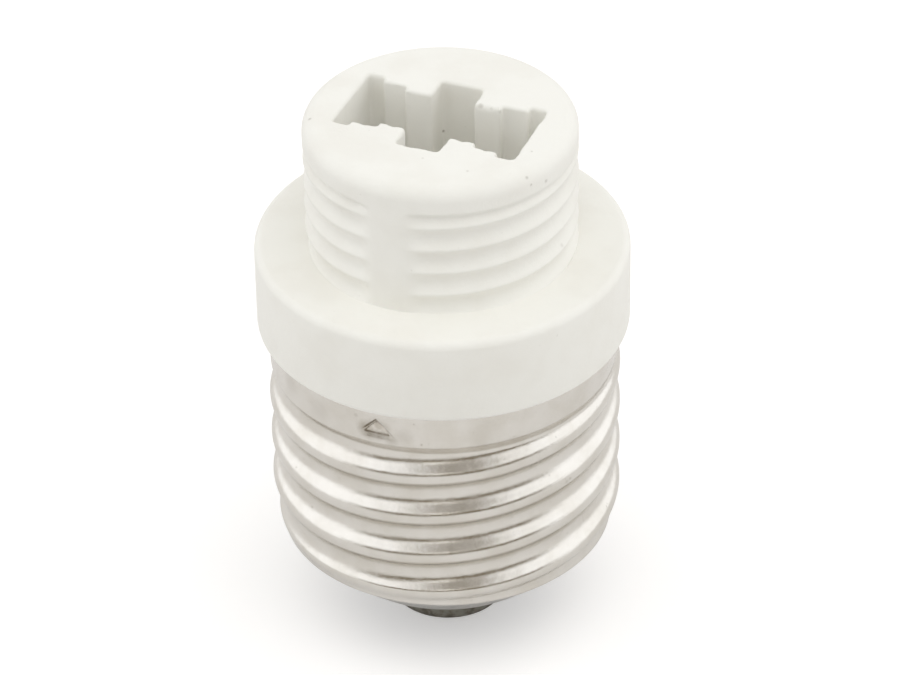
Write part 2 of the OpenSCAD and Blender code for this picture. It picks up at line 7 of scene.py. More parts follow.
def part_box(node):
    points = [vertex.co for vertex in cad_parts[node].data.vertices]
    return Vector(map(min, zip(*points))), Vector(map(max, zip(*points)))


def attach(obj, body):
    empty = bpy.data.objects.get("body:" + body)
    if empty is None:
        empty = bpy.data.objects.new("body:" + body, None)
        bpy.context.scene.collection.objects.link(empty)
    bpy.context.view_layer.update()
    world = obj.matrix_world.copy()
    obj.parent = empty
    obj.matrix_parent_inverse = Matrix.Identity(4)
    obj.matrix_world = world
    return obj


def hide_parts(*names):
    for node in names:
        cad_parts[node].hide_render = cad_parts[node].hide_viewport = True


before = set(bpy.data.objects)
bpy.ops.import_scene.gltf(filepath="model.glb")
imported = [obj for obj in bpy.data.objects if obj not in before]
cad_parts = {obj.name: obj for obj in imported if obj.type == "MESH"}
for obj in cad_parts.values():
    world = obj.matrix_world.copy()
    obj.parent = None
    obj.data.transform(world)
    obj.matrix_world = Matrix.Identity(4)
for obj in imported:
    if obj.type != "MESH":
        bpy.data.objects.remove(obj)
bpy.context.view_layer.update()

# The pieces are drawn in millimetres and scaled to metres when they are finished.
MM = 0.001
MERGE = 0.0005

# Heights and radii that the frame gives
SHELL_LOW, SHELL_HIGH = (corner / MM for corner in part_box("screw_shell"))
BODY_LOW, BODY_HIGH = (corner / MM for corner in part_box("ceramic_body"))
LIP_Z = SHELL_LOW.z
TOP_Z = BODY_HIGH.z
SKIRT_Z = BODY_LOW.z
FLANGE_R = BODY_HIGH.x

# Screw shell
THREAD_R = 13.1
THREAD_PITCH = 3.629
THREAD_DEPTH = 0.8
THREAD_TURN = math.radians(111)
THREAD_RISE = 0.12
THREAD_SWAY = 0.3
THREAD_SAG = 0.35
SHEET = 0.3
SHELL_GAP = 0.04
BAND_H = 2.6
BAND_STEP = 0.2
BAND_R = THREAD_R - BAND_STEP
CONE_H = 3.6
CONE_Z = LIP_Z + CONE_H
LIP_R = 8.55
LIP_ROLL = 0.3
FADE_TOP = 1.5
FADE_FOOT = 2.2
FOOT_START = 0.4
FOOT_LEAN = 0.25
MEAN_R = THREAD_R - THREAD_DEPTH / 2
FLANK = math.radians(47.6)
CREST_R = 0.957
ROOT_R = 1.5
CONE_R = MEAN_R - FOOT_LEAN
CRIMP_W = 3.1
CRIMP_DEPTH = 0.75
CRIMP_FOOT = 0.12
CRIMP_FOOT_WALL = 0.45
CRIMP_SIDE_WALL = 0.34
CRIMP_HIGH_DROP = 1.1
CRIMP_LOW_DROP = 2.55
CRIMP_SAG = 0.07
CRIMP_SAG_R = 0.75
POCKET_DROP = 1.55
POCKET_R = 1.736
POCKET_DEPTH = 1.2

# Ceramic body
NECK_R = 10.0
NECK_H = 10.5
NECK_EDGE = 1.0
COLLAR_H = 1.9
RING_PITCH = 1.9
RING_DEPTH = 0.45
RING_STEP = 0.4
RING_FADE = 0.5
CREST_SOFT = 0.12
RING_TURN = math.radians(339)
SEAM_ANGLE = math.radians(11)
SEAM_BLEND = math.radians(9)
FLANGE_H = 6.8
FLANGE_EDGE = 0.6
SPIGOT_R = 11.65
COLLAR_IN_R = 12.5
CAVITY_R = 8.85
LEAD_IN = 0.3
BODY_Z = TOP_Z - NECK_H
FLANGE_Z = BODY_Z - FLANGE_H
BAND_Z = FLANGE_Z - BAND_H
COLLAR_Z = TOP_Z - COLLAR_H
THREAD_REF_Z = FLANGE_Z - 2 * THREAD_PITCH + THREAD_RISE

# Lamp slot
SLOT_L = 14.0
SLOT_DEPTH = 9.5
SLOT_W = 4.6
RIB_L = 2.1
CHANNEL_W = 5.7
NOTCH_W = 6.8
NOTCH_L = 1.3
RECESS_W = 8.8
RECESS_L = 3.3
SLOT_EDGE = 0.35
FLOOR_T = 1.6
SLOT_Z = TOP_Z - SLOT_DEPTH
ROOF_Z = SLOT_Z - FLOOR_T
PIN_X = 4.5
STRIP_W = 3.2
WINDOW_W = 1.8
FIT = 0.1
CHAMBER_IN_X = PIN_X - STRIP_W / 2 - 0.3
CHAMBER_OUT_X = 7.05
CHAMBER_Y = 2.525
PLATE_HIGH_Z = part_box("closing_plate")[1].z / MM
RIVET_Y = 2.9
RIVET_HOLE_R = 0.9
RIVET_SEAT_R = 1.5
RIVET_SEAT_T = 0.5

# Rounding of the slot's rim, and its worn places: where, how far they reach and how much rounder
RIM_MEAN = 0.28
RIM_WAVES = 0.16
RIM_CHIPS = 0.1
RIM_MAX = 0.85
RIM_CORNER_W = 0.26
RIM_CORNER_REACH = 0.6
RIM_OPENING = 0.6
RIM_WEAR = [
    (5.9, -2.9, 1.6, 0.35), (3.0, -2.6, 0.8, 0.3), (1.9, -2.6, 0.7, 0.35), (-2.2, -2.6, 0.9, 0.25),
    (-4.2, -2.9, 0.7, 0.2), (2.0, 2.4, 0.6, 0.3), (3.2, 2.5, 0.7, 0.25), (-6.3, 3.2, 0.7, 0.2),
]

# The camera stands a little to the right of the adapter's front
AZIMUTH = math.radians(23.1)
FACING = AZIMUTH - math.pi / 2


def smooth(t):
    """Ease from 0 to 1."""
    u = min(1.0, max(0.0, t))
    return u * u * (3 - 2 * u)


def arc(x, z, r, start, end, steps):
    """Points of an arc in the plane of a profile, angles in degrees."""
    turns = [math.radians(start + (end - start) * i / steps) for i in range(steps + 1)]
    return [(x + r * math.cos(t), z + r * math.sin(t)) for t in turns]


def spaced(a, b, step):
    """Values from a towards b, b left out, no further apart than the step."""
    count = max(1, math.ceil(abs(b - a) / step))
    return [a + (b - a) * i / count for i in range(count)]


def revolved(profile, steps, closed=False):
    """Spin a profile of (radius, height) points once round the axis."""
    bm = bmesh.new()
    verts = [bm.verts.new((r, 0, z)) for r, z in profile]
    edges = [bm.edges.new(pair) for pair in zip(verts, verts[1:])]
    if closed:
        edges.append(bm.edges.new((verts[-1], verts[0])))
    bmesh.ops.spin(
        bm, geom=verts + edges, cent=(0, 0, 0), axis=(0, 0, 1),
        angle=math.tau, steps=steps, use_merge=True,
    )
    bmesh.ops.remove_doubles(bm, verts=bm.verts, dist=MERGE)
    return bm


def push_radius(bm, change):
    """Move each vertex outwards by what change(x, y, z, r) says."""
    for v in bm.verts:
        r = math.hypot(v.co.x, v.co.y)
        if r > MERGE:
            grown = (r + change(v.co.x, v.co.y, v.co.z, r)) / r
            v.co.x *= grown
            v.co.y *= grown


def finished(bm, name, coat, nodes, flat_faces=()):
    """Turn a mesh drawn in millimetres into a piece that rides on the body."""
    for face in bm.faces:
        face.smooth = face not in flat_faces
    bmesh.ops.recalc_face_normals(bm, faces=bm.faces)
    bmesh.ops.scale(bm, vec=(MM, MM, MM), verts=bm.verts)
    mesh = bpy.data.meshes.new(name)
    bm.to_mesh(mesh)
    bm.free()
    mesh.materials.append(coat)
    piece = bpy.data.objects.new(name, mesh)
    bpy.context.collection.objects.link(piece)
    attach(piece, "root")
    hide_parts(*nodes)
    return piece


class Graph:
    """A node tree, with short calls for the nodes that the finishes use."""

    def __init__(self, tree):
        self.tree = tree
        tree.nodes.clear()

    def node(self, kind, inputs=None, **settings):
        made = self.tree.nodes.new(kind)
        for key, value in settings.items():
            setattr(made, key, value)
        for key, value in (inputs or {}).items():
            if isinstance(value, bpy.types.NodeSocket):
                self.tree.links.new(value, made.inputs[key])
            else:
                made.inputs[key].default_value = value
        return made

    def math(self, operation, a, b=0.0, clamp=False):
        made = self.node("ShaderNodeMath", {0: a, 1: b}, operation=operation, use_clamp=clamp)
        return made.outputs[0]

    def product(self, first, *others):
        for other in others:
            first = self.math("MULTIPLY", first, other)
        return first

    def vector(self, operation, a, b):
        made = self.node("ShaderNodeVectorMath", {0: a, 1: b}, operation=operation)
        return made.outputs["Value" if operation in ("DOT_PRODUCT", "DISTANCE") else "Vector"]

    def place(self):
        """Object coordinates in millimetres."""
        coords = self.node("ShaderNodeTexCoord").outputs["Object"]
        made = self.node("ShaderNodeVectorMath", {0: coords, "Scale": 1 / MM}, operation="SCALE")
        return made.outputs[0]

    def noise(self, place, scale, detail=3.0, roughness=0.5):
        made = self.node(
            "ShaderNodeTexNoise",
            {"Vector": place, "Scale": scale, "Detail": detail, "Roughness": roughness},
        )
        return made.outputs["Fac"]

    def ramp(self, value, low, high, from_low=0.0, from_high=1.0):
        """A value eased from one range into another, held at its ends."""
        made = self.node(
            "ShaderNodeMapRange",
            {"Value": value, "From Min": low, "From Max": high, "To Min": from_low, "To Max": from_high},
            interpolation_type="SMOOTHSTEP",
        )
        return made.outputs["Result"]

    def between(self, value, start, low, high, end):
        """1 from low to high, eased down to 0 at start and at end."""
        return self.product(self.ramp(value, start, low), self.ramp(value, end, high))

    def mix(self, amount, a, b):
        made = self.node("ShaderNodeMix", {0: amount, 6: a, 7: b}, data_type="RGBA")
        return made.outputs[2]

    def bump(self, height, strength, distance, below=None):
        inputs = {"Height": height, "Strength": strength, "Distance": distance}
        if below is not None:
            inputs["Normal"] = below
        return self.node("ShaderNodeBump", inputs).outputs["Normal"]


def rgb(r, g, b):
    return (r, g, b, 1.0)


def finish_of(name):
    """A new material, its graph and its principled shader."""
    coat = bpy.data.materials.new(name)
    coat.use_nodes = True
    graph = Graph(coat.node_tree)
    shader = graph.node("ShaderNodeBsdfPrincipled")
    output = graph.node("ShaderNodeOutputMaterial")
    graph.tree.links.new(shader.outputs[0], output.inputs["Surface"])
    return coat, graph, shader


def wire(graph, shader, **sockets):
    """Set or link sockets of the shader, their names written with underscores."""
    for key, value in sockets.items():
        socket = shader.inputs[key.replace("_", " ")]
        if isinstance(value, bpy.types.NodeSocket):
            graph.tree.links.new(value, socket)
        else:
            socket.default_value = value


# Specks and chips of the one in the photograph, and on the shell also tarnish and painted shade: place
# and radius in millimetres, and how dark
CERAMIC_MARKS = [
    (-6.9, 1.7, 43.0, 0.2, 0.5), (-5.3, 2.3, 43.0, 0.2, 0.4), (2.2, 2.4, 42.9, 0.25, 0.35),
    (3.0, 2.3, 42.9, 0.2, 0.4), (3.9, 2.7, 43.0, 0.18, 0.7), (3.6, 2.5, 42.7, 0.18, 0.5),
    (-1.6, 4.3, 38.7, 0.15, 0.8), (8.6, -4.7, 42.6, 0.16, 0.4), (8.9, -4.6, 42.0, 0.13, 0.4),
    (-8.6, -3.7, 42.9, 0.18, 0.45), (7.9, -2.0, 43.0, 0.12, 0.35), (9.4, -3.2, 41.6, 0.2, 0.4),
    (9.9, -1.6, 40.8, 0.2, 0.3), (1.0, -5.6, 43.0, 0.12, 0.25), (4.6, -6.0, 43.0, 0.14, 0.3),
    (9.9, -1.0, 34.8, 0.25, 0.3), (6.2, -7.8, 40.6, 0.12, 0.35), (5.6, -8.2, 38.8, 0.16, 0.25),
    (4.4, -8.9, 38.7, 0.14, 0.25), (3.1, -9.4, 38.6, 0.16, 0.25), (7.3, -6.8, 37.0, 0.13, 0.3),
    (-9.9, -9.6, 37.2, 0.15, 0.3), (13.4, 3.3, 28.0, 0.2, 0.3), (-12.6, -3.6, 31.6, 0.16, 0.35),
]
# Shell: small tarnish specks, and wide brown marks in and round the front crimp that are partly tarnish
# and partly painted shade of the dent
SHELL_TARNISH_AND_PAINTED_SHADE = [
    (3.4, -12.5, 23.0, 0.13, 0.7), (3.9, -12.4, 23.1, 0.13, 0.6), (11.8, -5.4, 17.1, 0.2, 0.6),
    (12.0, -5.1, 17.2, 0.16, 0.6), (0.1, -12.2, 23.9, 1.2, 0.75), (-0.7, -12.8, 23.6, 0.9, 0.75),
    (0.2, -13.0, 23.3, 0.6, 0.45), (1.2, -13.0, 23.1, 0.7, 0.4), (0.0, -12.5, 24.4, 0.6, 0.7),
    (-0.5, -12.9, 23.4, 0.7, 0.5), (2.2, -12.8, 23.6, 0.9, 0.2), (-5.0, -12.0, 23.6, 1.2, 0.16),
    (-8.0, -10.2, 23.9, 1.1, 0.18), (-1.6, -12.9, 24.6, 0.25, 0.35), (7.5, -10.7, 23.5, 1.6, 0.12),
]


def marked(g, place, color, marks, mark_color):
    """The colour with a soft-edged, ragged mark at each place."""
    ragged = g.math("MULTIPLY", g.noise(place, 4.0, 3, 0.7), 0.6)
    amount = 0.0
    for x, y, z, r, dark in marks:
        off = g.math("DIVIDE", g.vector("DISTANCE", place, (x, y, z)), r)
        spot = g.ramp(g.math("ADD", off, ragged), 1.5, 0.4, 0.0, dark)
        amount = g.math("MAXIMUM", amount, spot)
    return g.mix(amount, color, mark_color)


def ceramic_finish(name, body_color, shade_color, marks=()):
    """Unglazed white ceramic: fine grain, faint clouds, a little dust and its marks."""
    coat, g, shader = finish_of(name)
    place = g.place()
    clouds = g.ramp(g.noise(place, 0.22, 4), 0.4, 0.7)
    color = g.mix(clouds, body_color, shade_color)
    dust = g.ramp(g.noise(place, 2.6, 2), 0.74, 0.78)
    color = g.mix(g.math("MULTIPLY", dust, 0.16), color, rgb(0.5, 0.46, 0.4))
    if marks:
        color = marked(g, place, color, marks, rgb(0.3, 0.27, 0.22))
    grain = g.noise(place, 9.0, 3, 0.6)
    pits = g.noise(place, 2.2, 4, 0.6)
    normal = g.bump(grain, 0.12, 0.00004)
    normal = g.bump(pits, 0.2, 0.00012, normal)
    wire(g, shader, Base_Color=color, Roughness=g.ramp(pits, 0.3, 0.7, 0.5, 0.68), Normal=normal)
    return coat


def nickel_finish(name):
    """Nickel plate on rolled sheet: warm and slightly tarnished, with fine rolling marks, and painted
    shade in and round the front crimp.
    """
    coat, g, shader = finish_of(name)
    place = g.place()
    clouds = g.ramp(g.noise(place, 0.35, 5, 0.6), 0.35, 0.7)
    color = g.mix(clouds, rgb(0.735, 0.71, 0.665), rgb(0.675, 0.645, 0.59))
    spots = g.ramp(g.noise(place, 2.6, 3), 0.7, 0.76)
    color = g.mix(g.math("MULTIPLY", spots, 0.4), color, rgb(0.3, 0.26, 0.2))
    # Tarnish specks, and painted shade in and round the front crimp
    color = marked(g, place, color, SHELL_TARNISH_AND_PAINTED_SHADE, rgb(0.3, 0.26, 0.2))
    grain = g.noise(place, 11.0, 3, 0.75)
    dings = g.noise(place, 1.1, 3, 0.5)
    normal = g.bump(grain, 0.3, 0.00003)
    normal = g.bump(dings, 0.25, 0.0001, normal)
    roughness = g.ramp(g.noise(place, 0.8, 4, 0.65), 0.3, 0.75, 0.15, 0.27)
    wire(g, shader, Base_Color=color, Metallic=1.0, Roughness=roughness, Normal=normal)
    return coat


def metal_finish(name, bright, dull, low, high, scale=1.5):
    """Plain metal between a bright and a dull colour, with its roughness between low and high."""
    coat, g, shader = finish_of(name)
    place = g.place()
    patches = g.ramp(g.noise(place, scale, 4, 0.6), 0.35, 0.7)
    normal = g.bump(g.noise(place, 12.0, 2, 0.6), 0.15, 0.00004)
    wire(
        g, shader, Base_Color=g.mix(patches, bright, dull), Metallic=1.0,
        Roughness=g.ramp(patches, 0.0, 1.0, low, high), Normal=normal,
    )
    return coat


def plastic_finish(name, color, worn, roughness):
    """Moulded insulation with a faint bloom."""
    coat, g, shader = finish_of(name)
    place = g.place()
    bloom = g.ramp(g.noise(place, 0.9, 4, 0.6), 0.4, 0.75)
    normal = g.bump(g.noise(place, 8.0, 3, 0.5), 0.1, 0.00005)
    wire(
        g, shader, Base_Color=g.mix(bloom, color, worn),
        Roughness=g.ramp(bloom, 0.0, 1.0, roughness, roughness + 0.15), Normal=normal,
    )
    return coat


CERAMIC = ceramic_finish(
    "white ceramic", rgb(0.895, 0.885, 0.835), rgb(0.865, 0.85, 0.795), CERAMIC_MARKS,
)
PLATE_CERAMIC = ceramic_finish("plate ceramic", rgb(0.82, 0.8, 0.74), rgb(0.76, 0.73, 0.66))
NICKEL = nickel_finish("rolled nickel")
CONTACT = metal_finish("dull contact", rgb(0.36, 0.35, 0.3), rgb(0.2, 0.18, 0.15), 0.38, 0.6)
SOLDER = metal_finish("solder", rgb(0.52, 0.52, 0.52), rgb(0.36, 0.36, 0.36), 0.35, 0.55)
BLACK = plastic_finish("black insulator", rgb(0.025, 0.024, 0.026), rgb(0.06, 0.055, 0.055), 0.35)
COVER = plastic_finish("lead cover", rgb(0.75, 0.74, 0.7), rgb(0.66, 0.64, 0.58), 0.5)
BRONZE = metal_finish("clip bronze", rgb(0.66, 0.5, 0.28), rgb(0.48, 0.34, 0.18), 0.28, 0.45)
SPRING = metal_finish("spring steel", rgb(0.56, 0.56, 0.57), rgb(0.42, 0.41, 0.4), 0.25, 0.4)
BRASS = metal_finish("rivet brass", rgb(0.72, 0.56, 0.3), rgb(0.5, 0.38, 0.2), 0.25, 0.42)
STEEL = metal_finish("washer steel", rgb(0.6, 0.6, 0.6), rgb(0.45, 0.44, 0.43), 0.3, 0.45)
TIN = metal_finish("tinned crimp", rgb(0.68, 0.68, 0.67), rgb(0.52, 0.51, 0.49), 0.3, 0.45)
COPPER = metal_finish("copper wire", rgb(0.8, 0.42, 0.26), rgb(0.55, 0.28, 0.16), 0.3, 0.45)


def seam_fade(a):
    """0 at the two smooth seams where the mould parts, 1 away from them."""
    off = min(abs(math.remainder(a - side, math.tau)) for side in (math.pi / 2, -math.pi / 2))
    return smooth((off - SEAM_ANGLE) / SEAM_BLEND + 0.5)


def softened(swing):
    """The size of a swing, with a rounded turn at 0."""
    return math.sqrt(swing * swing + CREST_SOFT ** 2) - CREST_SOFT


def neck_groove(x, y, z, r):
    """How far the neck thread lies inside its crests, as a change of radius."""
    if z > COLLAR_Z or z < BODY_Z - MERGE or r > NECK_R + MERGE or r < NECK_R - MERGE:
        return 0.0
    a = math.atan2(y, x)
    shift = RING_STEP * smooth(0.5 - 2 * x)
    swing = math.sin(math.pi * (z - shift - BODY_Z) / RING_PITCH - (a - RING_TURN) / 2)
    wave = softened(swing) / softened(1)
    return -RING_DEPTH * smooth((COLLAR_Z - z) / RING_FADE) * seam_fade(a) * wave


def slot_corners():
    """Corners of the lamp slot's outline: one quarter, and its three mirror images."""
    rib_x = RECESS_L / 2 + RIB_L
    notch_x = SLOT_L / 2 - NOTCH_L
    quarter = [
        (SLOT_L / 2, NOTCH_W / 2), (notch_x, NOTCH_W / 2), (notch_x, CHANNEL_W / 2),
        (rib_x, CHANNEL_W / 2), (rib_x, SLOT_W / 2), (RECESS_L / 2, SLOT_W / 2),
        (RECESS_L / 2, RECESS_W / 2),
    ]
    half = quarter + [(-x, y) for x, y in reversed(quarter)]
    return [Vector(p) for p in half + [(-x, -y) for x, y in half]]


def slot_outline(step):
    """Points about one step apart on the rounded outline, and the way outwards at each."""
    corners = slot_corners()
    path = []
    for i, v in enumerate(corners):
        a, b = corners[i - 1], corners[(i + 1) % len(corners)]
        d = min(SLOT_EDGE, 0.45 * min((a - v).length, (b - v).length))
        p, q = v + (a - v).normalized() * d, v + (b - v).normalized() * d
        path += [p * (1 - t) ** 2 + v * 2 * t * (1 - t) + q * t * t for t in (0, 0.25, 0.5, 0.75, 1)]
    points = []
    for p, q in zip(path, path[1:] + path[:1]):
        count = max(1, round((q - p).length / step))
        points += [p.lerp(q, i / count) for i in range(count)]
    outward = []
    for i, p in enumerate(points):
        along = (points[(i + 1) % len(points)] - points[i - 1]).normalized()
        outward.append(Vector((along.y, -along.x)))
    return points, outward


def body_profile():
    """Half section of the ceramic body, from the top face outwards and down to the cavity's ceiling."""
    low_edge = FLANGE_EDGE * 0.6
    profile = arc(NECK_R - NECK_EDGE, TOP_Z - NECK_EDGE, NECK_EDGE, 90, 0, 9)
    profile += [(NECK_R, z) for z in spaced(TOP_Z - NECK_EDGE - 0.1, BODY_Z, 0.12)]
    profile += [(NECK_R, BODY_Z), (NECK_R + 0.3, BODY_Z), (NECK_R + 1.6, BODY_Z)]
    profile += arc(FLANGE_R - FLANGE_EDGE, BODY_Z - FLANGE_EDGE, FLANGE_EDGE, 90, 0, 7)
    profile += [(FLANGE_R, BODY_Z - FLANGE_H / 2)]
    profile += arc(FLANGE_R - low_edge, FLANGE_Z + low_edge, low_edge, 0, -90, 5)
    profile += [
        (COLLAR_IN_R, FLANGE_Z), (COLLAR_IN_R, BAND_Z + LEAD_IN), (SPIGOT_R, BAND_Z - LEAD_IN),
        (SPIGOT_R, SKIRT_Z + LEAD_IN), (SPIGOT_R - LEAD_IN, SKIRT_Z), (CAVITY_R, SKIRT_Z),
        (CAVITY_R, PLATE_HIGH_Z), (0, PLATE_HIGH_Z),
    ]
    return profile


def box_cutter(bm, low, high):
    made = bmesh.ops.create_cube(bm, size=1)["verts"]
    size = Vector(high) - Vector(low)
    bmesh.ops.scale(bm, vec=size, verts=made)
    bmesh.ops.translate(bm, vec=(Vector(low) + Vector(high)) / 2, verts=made)


def round_cutter(bm, x, y, r, low, high):
    made = bmesh.ops.create_cone(
        bm, segments=48, radius1=r, radius2=r, depth=high - low, cap_ends=True
    )["verts"]
    bmesh.ops.translate(bm, vec=(x, y, (low + high) / 2), verts=made)


def pocket_cutter(bm, side):
    """Round pocket for a crimp, cut off at the flange."""
    made = bmesh.ops.create_cone(
        bm, segments=48, radius1=POCKET_R, radius2=POCKET_R, depth=POCKET_DEPTH + 1, cap_ends=True
    )["verts"]
    bmesh.ops.rotate(bm, cent=(0, 0, 0), matrix=Matrix.Rotation(math.pi / 2, 3, "X"), verts=made)
    middle = COLLAR_IN_R - POCKET_DEPTH + (POCKET_DEPTH + 1) / 2
    bmesh.ops.translate(bm, vec=(0, side * middle, FLANGE_Z - POCKET_DROP), verts=made)
    for v in made:
        v.co.z = min(v.co.z, FLANGE_Z - 0.01)


def carved(bm, cutter):
    """The mesh with the cutter's solids taken away."""
    pair = []
    for work in (bm, cutter):
        bmesh.ops.recalc_face_normals(work, faces=work.faces)
        mesh = bpy.data.meshes.new("work")
        work.to_mesh(mesh)
        work.free()
        pair.append(bpy.data.objects.new("work", mesh))
        bpy.context.collection.objects.link(pair[-1])
    body, tool = pair
    cut = body.modifiers.new("cut", "BOOLEAN")
    cut.operation = "DIFFERENCE"
    cut.solver = "EXACT"
    cut.object = tool
    bpy.context.view_layer.update()
    result = bmesh.new()
    result.from_object(body, bpy.context.evaluated_depsgraph_get())
    for work in pair:
        mesh = work.data
        bpy.data.objects.remove(work)
        bpy.data.meshes.remove(mesh)
    return result


def rim_radius(p):
    """Rounding of the slot's rim: uneven all round, and worn and chipped in some places."""
    r = RIM_MEAN + RIM_WAVES * noise.noise(Vector((p.x * 0.9, p.y * 0.9, 3.0)))
    r += RIM_CHIPS * abs(noise.noise(Vector((p.x * 3.1, p.y * 3.1, 7.0))))
    for x, y, reach, extra in RIM_WEAR:
        r += extra * smooth(1.3 - math.hypot(p.x - x, p.y - y) / reach)
    return min(r, RIM_MAX)


def rim_width(p, r):
    """How far the rounding reaches over the top face: less in the corners, where it would fold."""
    nearest = min((p - corner).length for corner in slot_corners())
    return min(r, RIM_CORNER_W + RIM_OPENING * max(0.0, nearest - RIM_CORNER_REACH))


def slot_walls(bm):
    """Walls, floor and worn rim of the lamp slot. Returns the rim's outer edges."""
    points, outward = slot_outline(0.2)
    radii = [rim_radius(p) for p in points]
    widths = [rim_width(p, r) for p, r in zip(points, radii)]
    floor = [bm.verts.new((p.x, p.y, SLOT_Z)) for p in points]
    edges = [bm.edges.new((floor[i - 1], floor[i])) for i in range(len(floor))]
    bm.faces.new(floor)
    walls = [(0.0, z) for z in spaced(SLOT_Z, TOP_Z - RIM_MAX - 0.05, 1.5)[1:]]
    turns = [math.pi / 2 * i / 5 for i in range(6)]
    ring = list(floor)
    for level in range(len(walls) + len(turns)):
        made = bmesh.ops.extrude_edge_only(bm, edges=edges)["geom"]
        edges = [e for e in made if isinstance(e, bmesh.types.BMEdge) and all(
            v not in ring for v in e.verts)]
        verts = [v for v in made if isinstance(v, bmesh.types.BMVert)]
        for v in verts:
            v.index = min(range(len(points)), key=lambda k: (points[k] - v.co.xy).length_squared)
        ring = verts
        for v in verts:
            p, n, r = points[v.index], outward[v.index], radii[v.index]
            if level < len(walls):
                v.co = (p.x, p.y, walls[level][1])
                continue
            t = turns[level - len(walls)]
            out = widths[v.index] * (1 - math.cos(t))
            v.co = (p.x + n.x * out, p.y + n.y * out, TOP_Z - r + r * math.sin(t))
    return edges


def ceramic_body():
    bm = revolved(body_profile(), 300)
    push_radius(bm, neck_groove)
    top = [e for e in bm.edges if e.is_boundary]
    rim = slot_walls(bm)
    bmesh.ops.triangle_fill(bm, use_beauty=True, edges=top + rim)
    chambers = bmesh.new()
    for side in (-1, 1):
        xs = sorted((side * CHAMBER_IN_X, side * CHAMBER_OUT_X))
        box_cutter(chambers, (xs[0], -CHAMBER_Y, PLATE_HIGH_Z - 1), (xs[1], CHAMBER_Y, ROOF_Z))
        round_cutter(chambers, 0, side * RIVET_Y, RIVET_HOLE_R, PLATE_HIGH_Z - 1, SLOT_Z - 0.2)
        pocket_cutter(chambers, side)
    bm = carved(bm, chambers)
    windows = bmesh.new()
    for side in (-1, 1):
        half = STRIP_W / 2 + FIT
        box_cutter(
            windows, (side * PIN_X - half, -WINDOW_W / 2, ROOF_Z - 1),
            (side * PIN_X + half, WINDOW_W / 2, SLOT_Z + 1),
        )
        round_cutter(windows, 0, side * RIVET_Y, RIVET_SEAT_R, SLOT_Z - RIVET_SEAT_T, SLOT_Z + 1)
    bm = carved(bm, windows)
    flat = {f for f in bm.faces if abs(f.normal.z) > 0.999}
    return finished(bm, "fired_ceramic_body", CERAMIC, ["ceramic_body"], flat)


def shell_mean(z):
    top = 1 - smooth((BAND_Z - z) / FADE_TOP)
    foot = 1 - smooth((z - CONE_Z) / FADE_FOOT)
    return MEAN_R + (BAND_R - MEAN_R) * top - FOOT_LEAN * foot


def rolled(u, grown):
    """Distance from the mean radius, u away from a crest: crest, flank, bend and flat root."""
    crest, bend = CREST_R + grown, ROOT_R - grown
    crest_u = crest * math.sin(FLANK)
    if u < crest_u:
        return THREAD_DEPTH / 2 + grown - crest + math.sqrt(crest ** 2 - u * u)
    crest_low = THREAD_DEPTH / 2 + grown - crest * (1 - math.cos(FLANK))
    root = grown - THREAD_DEPTH / 2
    bend_high = root + bend * (1 - math.cos(FLANK))
    flank_u = crest_u + (crest_low - bend_high) / math.tan(FLANK)
    if u < flank_u:
        return crest_low - (u - crest_u) * math.tan(FLANK)
    root_u = flank_u + bend * math.sin(FLANK)
    if u < root_u:
        return root + bend - math.sqrt(bend ** 2 - (root_u - u) ** 2)
    return root


def crimp_depth(x, z):
    """Depth of the three-sided dent that is punched through the band, deepest under its upper corner."""
    if abs(x) > 2 * CRIMP_W or z > FLANGE_Z or z < BAND_Z - 1:
        return 0.0
    high, low = FLANGE_Z - CRIMP_HIGH_DROP, FLANGE_Z - CRIMP_LOW_DROP
    half = CRIMP_W / 2
    lean = math.atan2(half, high - low)
    rise = (z - low) / (high - low)
    to_side = (half * (1 - rise) - abs(x)) * math.cos(lean)
    deeper = CRIMP_FOOT + (1 - CRIMP_FOOT) * smooth(rise / 0.9)
    foot_wall = smooth((z - low) / CRIMP_FOOT_WALL + 0.75)
    side_wall = smooth(to_side / CRIMP_SIDE_WALL + 0.35)
    dent = CRIMP_DEPTH * deeper * foot_wall * side_wall
    middle_z = (2 * low + high) / 3
    around = math.hypot(x / 1.25, z - middle_z)
    return dent + CRIMP_SAG * math.exp(-(around / CRIMP_SAG_R) ** 2)


def shell_shape(x, y, z, r):
    """The rolled thread and the crimps, as a change of radius."""
    if z < CONE_Z - FOOT_START:
        return 0.0
    a = math.atan2(y, x)
    fade = smooth((BAND_Z - z) / FADE_TOP) * smooth((z - CONE_Z + FOOT_START) / FADE_FOOT)
    z_uneven = z - THREAD_SWAY * math.sin(a - FACING) + THREAD_SAG * max(0.0, math.cos(a - FACING))
    turns = (z_uneven - THREAD_REF_Z) / THREAD_PITCH - (a - THREAD_TURN) / math.tau
    from_crest = THREAD_PITCH * abs(turns - round(turns))
    grown = 0.0 if r > shell_mean(z) - SHEET / 2 else -SHEET
    return fade * (rolled(from_crest, grown) - grown) - crimp_depth(x, z)


def shell_profile():
    """Closed half section of the sheet, without its thread."""
    edge = SHEET / 2
    top = FLANGE_Z - SHELL_GAP
    outer = [(shell_mean(z), z) for z in spaced(top, CONE_Z, 0.12)]
    slope = (CONE_R - LIP_R) / (CONE_Z - LIP_Z)
    outer += [(LIP_R + (z - LIP_Z) * slope, z) for z in spaced(CONE_Z, LIP_Z + edge, 0.3)]
    lip = arc(LIP_R - edge, LIP_Z + edge, edge, 30, -150, 6)
    skin = SHEET * math.sqrt(1 + slope * slope)
    inner = [(LIP_R - LIP_ROLL, LIP_Z + LIP_ROLL)]
    inner += [
        (LIP_R + (z - LIP_Z) * slope - skin, z) for z in spaced(LIP_Z + LIP_ROLL, CONE_Z, 0.6)
    ]
    inner += [(shell_mean(z) - SHEET, z) for z in spaced(CONE_Z, top, 0.36)]
    inner += [(shell_mean(top) - SHEET, top)]
    return outer + lip + inner


